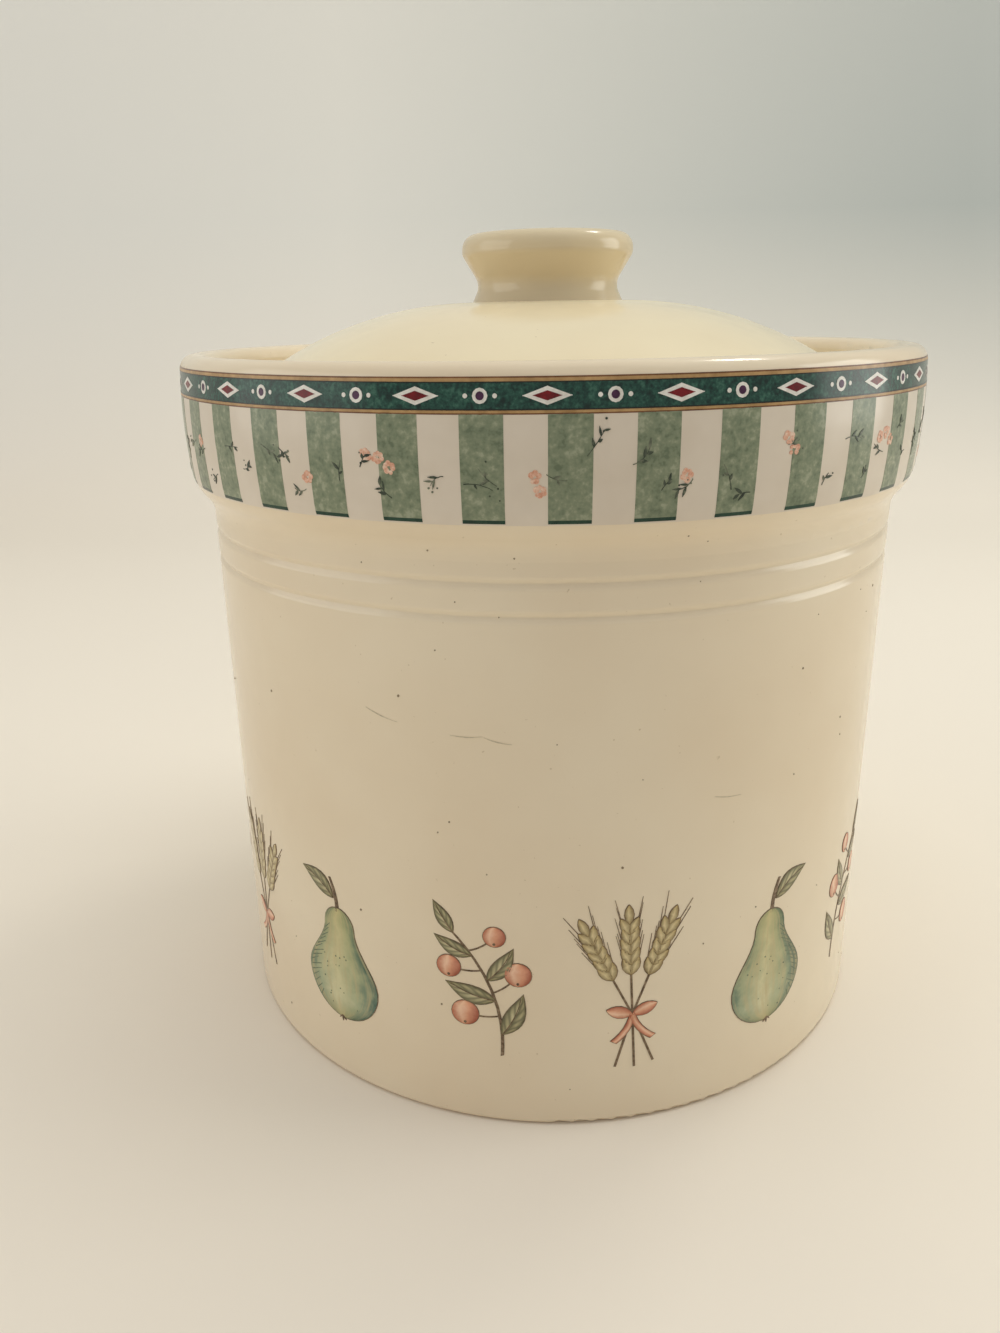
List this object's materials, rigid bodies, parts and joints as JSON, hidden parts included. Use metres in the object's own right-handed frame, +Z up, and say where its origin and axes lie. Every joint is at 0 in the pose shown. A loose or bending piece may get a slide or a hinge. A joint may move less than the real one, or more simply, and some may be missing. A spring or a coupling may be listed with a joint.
{
  "type": "stoneware canister",
  "caption": "Round stoneware kitchen canister with a thick collar, a domed lid that drops inside the rim on a soft seal ring, and a waisted knob to lift it by.",
  "frame": {"origin": "centre of the foot ring, on the surface that the canister stands on", "axes": "+Z up along the canister's axis of revolution, -Y towards the viewer"},
  "size_m": [0.192, 0.192, 0.2067],
  "materials": {
    "crock_glaze": "glossy warm cream glaze with iron specks",
    "lid_glaze": "glossy warm cream glaze",
    "seal_rubber": "matt translucent white silicone"
  },
  "bodies": {
    "crock": {"canister_body": "crock_glaze"},
    "seal": {"lid_seal": "seal_rubber"},
    "lid": {"lid": "lid_glaze", "lid_knob": "lid_glaze"}
  },
  "joints": [
    {"name": "lid_lift", "type": "slide", "parent": "crock", "child": "seal", "axis": [0, 0, 1], "range_m": [0, 0.09]},
    {"name": "lid_turn", "type": "hinge", "parent": "seal", "child": "lid", "pos_m": [0, 0, 0.1526], "axis": [0, 0, 1], "continuous": true}
  ]
}
